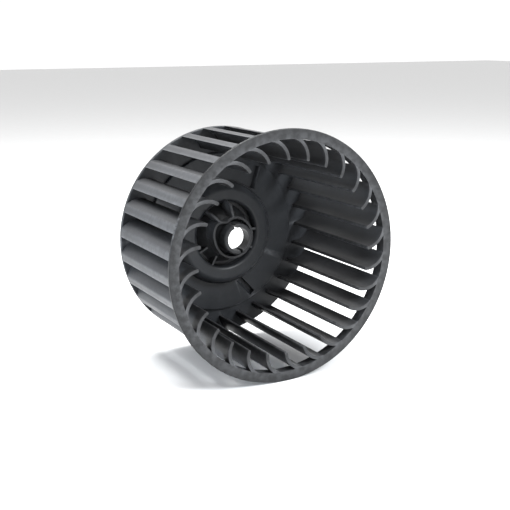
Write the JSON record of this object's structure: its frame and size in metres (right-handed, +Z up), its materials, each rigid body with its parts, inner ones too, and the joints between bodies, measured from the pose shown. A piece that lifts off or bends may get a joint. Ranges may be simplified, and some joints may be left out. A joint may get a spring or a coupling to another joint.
{
  "type": "blower motor wheel",
  "caption": "Moulded blower wheel: forward-curved blades between an open front ring and a closed back plate, with a split hub for the motor shaft.",
  "frame": {"origin": "on the wheel's axis, midway between the front ring's face and the back plane", "axes": "+Y along the shaft axis towards the closed back, where the motor is; the open front faces -Y; +Z up"},
  "size_m": [0.1276, 0.074, 0.1277],
  "materials": {
    "ring": "satin black plastic, flat turned-looking face",
    "blade": "satin black plastic, fine grain",
    "plate": "satin black plastic, faint flow marks",
    "hub": "satin black plastic"
  },
  "bodies": {
    "root": {"front_flange": "ring", "front_band": "ring", "blade_01": "blade", "blade_02": "blade", "blade_03": "blade", "blade_04": "blade", "blade_05": "blade", "blade_06": "blade", "blade_07": "blade", "blade_08": "blade", "blade_09": "blade", "blade_10": "blade", "blade_11": "blade", "blade_12": "blade", "blade_13": "blade", "blade_14": "blade", "blade_15": "blade", "blade_16": "blade", "blade_17": "blade", "blade_18": "blade", "blade_19": "blade", "blade_20": "blade", "blade_21": "blade", "blade_22": "blade", "blade_23": "blade", "blade_24": "blade", "blade_25": "blade", "blade_26": "blade", "blade_27": "blade", "blade_28": "blade", "back_rim": "plate", "web": "plate", "raised_ring": "plate", "hub_funnel": "hub", "hub_sleeve": "hub", "collar_half_1": "hub", "collar_half_2": "hub", "hub_rib_1": "hub", "hub_rib_2": "hub", "hub_rib_3": "hub", "hub_rib_4": "hub", "hub_rib_5": "hub", "hub_rib_6": "hub"}
  },
  "joints": []
}
